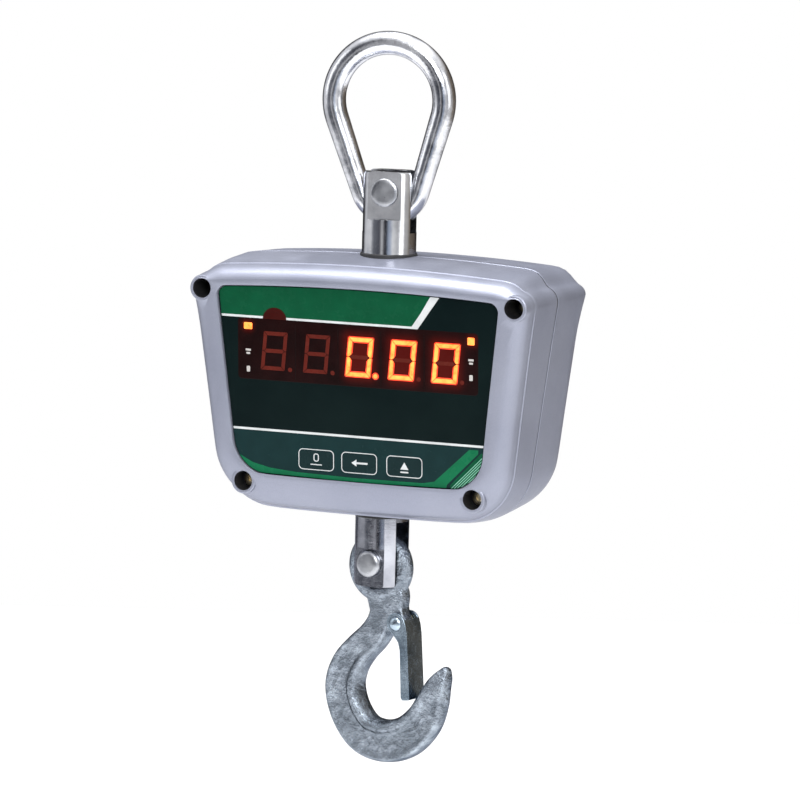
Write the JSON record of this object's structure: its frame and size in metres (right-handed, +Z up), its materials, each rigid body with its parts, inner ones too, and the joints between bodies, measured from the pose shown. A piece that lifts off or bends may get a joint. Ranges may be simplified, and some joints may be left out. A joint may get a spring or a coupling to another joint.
{
  "type": "crane scale",
  "caption": "Hanging crane scale: ring on a pinned fork, two-shell case with lit display and membrane keys, and a forged hook with a sprung latch.",
  "frame": {"origin": "inside of the suspension ring's crown, the point it hangs from", "axes": "+Z up along the load line, -Y out of the display, +X to the right seen from the front"},
  "size_m": [0.1762, 0.0883, 0.3554],
  "materials": {
    "galvanised_steel": "bright zinc-coated forging, lightly scuffed",
    "chrome": "polished plating",
    "zinc_plate": "bluish zinc plating on pressed steel",
    "case_paint": "satin silver-grey paint on die-cast shells",
    "rubber": "matte black rubber",
    "overlay_film": "dark teal glossy membrane with white and green print",
    "window_filter": "dark red light filter",
    "led_module": "lit orange-red segments in a dark face",
    "circuit_board": "green solder mask",
    "black_plastic": "moulded black plastic",
    "screw_steel": "yellow-passivated zinc steel",
    "aluminium": "machined aluminium",
    "battery_wrap": "blue shrink wrap",
    "cable_sheath": "dark flexible sheath"
  },
  "bodies": {
    "ring": {"suspension_ring": "galvanised_steel"},
    "scale": {"battery_connector": "black_plastic", "battery_cover": "case_paint", "battery_lead": "cable_sheath", "battery_pack": "battery_wrap", "board_screw_1": "screw_steel", "board_screw_2": "screw_steel", "board_screw_3": "screw_steel", "board_screw_4": "screw_steel", "bracket_screw_left": "screw_steel", "bracket_screw_right": "screw_steel", "buzzer": "black_plastic", "case_gasket_left": "rubber", "case_gasket_right": "rubber", "case_screw_bottom_left": "screw_steel", "case_screw_bottom_right": "screw_steel", "case_screw_top_left": "screw_steel", "case_screw_top_right": "screw_steel", "cell_bracket": "zinc_plate", "cell_connector": "black_plastic", "cell_screw_left": "screw_steel", "cell_screw_right": "screw_steel", "charging_socket": "black_plastic", "cover_screw_left": "screw_steel", "cover_screw_right": "screw_steel", "digit_1": "led_module", "digit_2": "led_module", "digit_3": "led_module", "digit_4": "led_module", "digit_5": "led_module", "display_board": "circuit_board", "display_window": "window_filter", "front_shell": "case_paint", "indicator_bar_left": "led_module", "indicator_bar_right": "led_module", "ir_receiver": "black_plastic", "key_switch_1": "black_plastic", "key_switch_2": "black_plastic", "key_switch_3": "black_plastic", "load_cell": "aluminium", "load_cell_cable": "cable_sheath", "lower_clevis": "chrome", "lower_lock_nut": "screw_steel", "lower_pin": "galvanised_steel", "lower_pin_clip": "screw_steel", "lower_seal_ring": "rubber", "overlay_panel": "overlay_film", "rear_shell": "case_paint", "upper_clevis": "chrome", "upper_lock_nut": "screw_steel", "upper_pin": "galvanised_steel", "upper_pin_clip": "screw_steel", "upper_seal_ring": "rubber"},
    "zero_key": {"zero_key": "overlay_film"},
    "mode_key": {"mode_key": "overlay_film"},
    "off_key": {"off_key": "overlay_film"},
    "hook": {"hook": "galvanised_steel", "latch_pin": "zinc_plate"},
    "latch": {"latch": "zinc_plate", "latch_spring": "screw_steel"}
  },
  "joints": [
    {"name": "housing_swing", "type": "hinge", "parent": "ring", "child": "scale", "pos_m": [0.00261, 0.00032, -0.06555], "axis": [-0.1219, 0.9925, 0], "range_deg": [-70, 70]},
    {"name": "hook_swing", "type": "hinge", "parent": "scale", "child": "hook", "pos_m": [0.00261, 0.00032, -0.24555], "axis": [0.1908, 0.9816, 0], "range_deg": [-60, 60]},
    {"name": "latch_hinge", "type": "hinge", "parent": "hook", "child": "latch", "pos_m": [0.01587, -0.00226, -0.27405], "axis": [0.1908, 0.9816, 0], "range_deg": [0, 30], "stiffness_Nm_per_rad": 0.05, "springref_deg": -20.05},
    {"name": "zero_key_press", "type": "slide", "parent": "scale", "child": "zero_key", "axis": [0, 0.9977, 0.0671], "range_m": [0, 0.0005], "stiffness_N_per_m": 300, "springref_m": -0.0005},
    {"name": "mode_key_press", "type": "slide", "parent": "scale", "child": "mode_key", "axis": [0, 0.9977, 0.0671], "range_m": [0, 0.0005], "stiffness_N_per_m": 300, "springref_m": -0.0005},
    {"name": "off_key_press", "type": "slide", "parent": "scale", "child": "off_key", "axis": [0, 0.9977, 0.0671], "range_m": [0, 0.0005], "stiffness_N_per_m": 300, "springref_m": -0.0005}
  ]
}
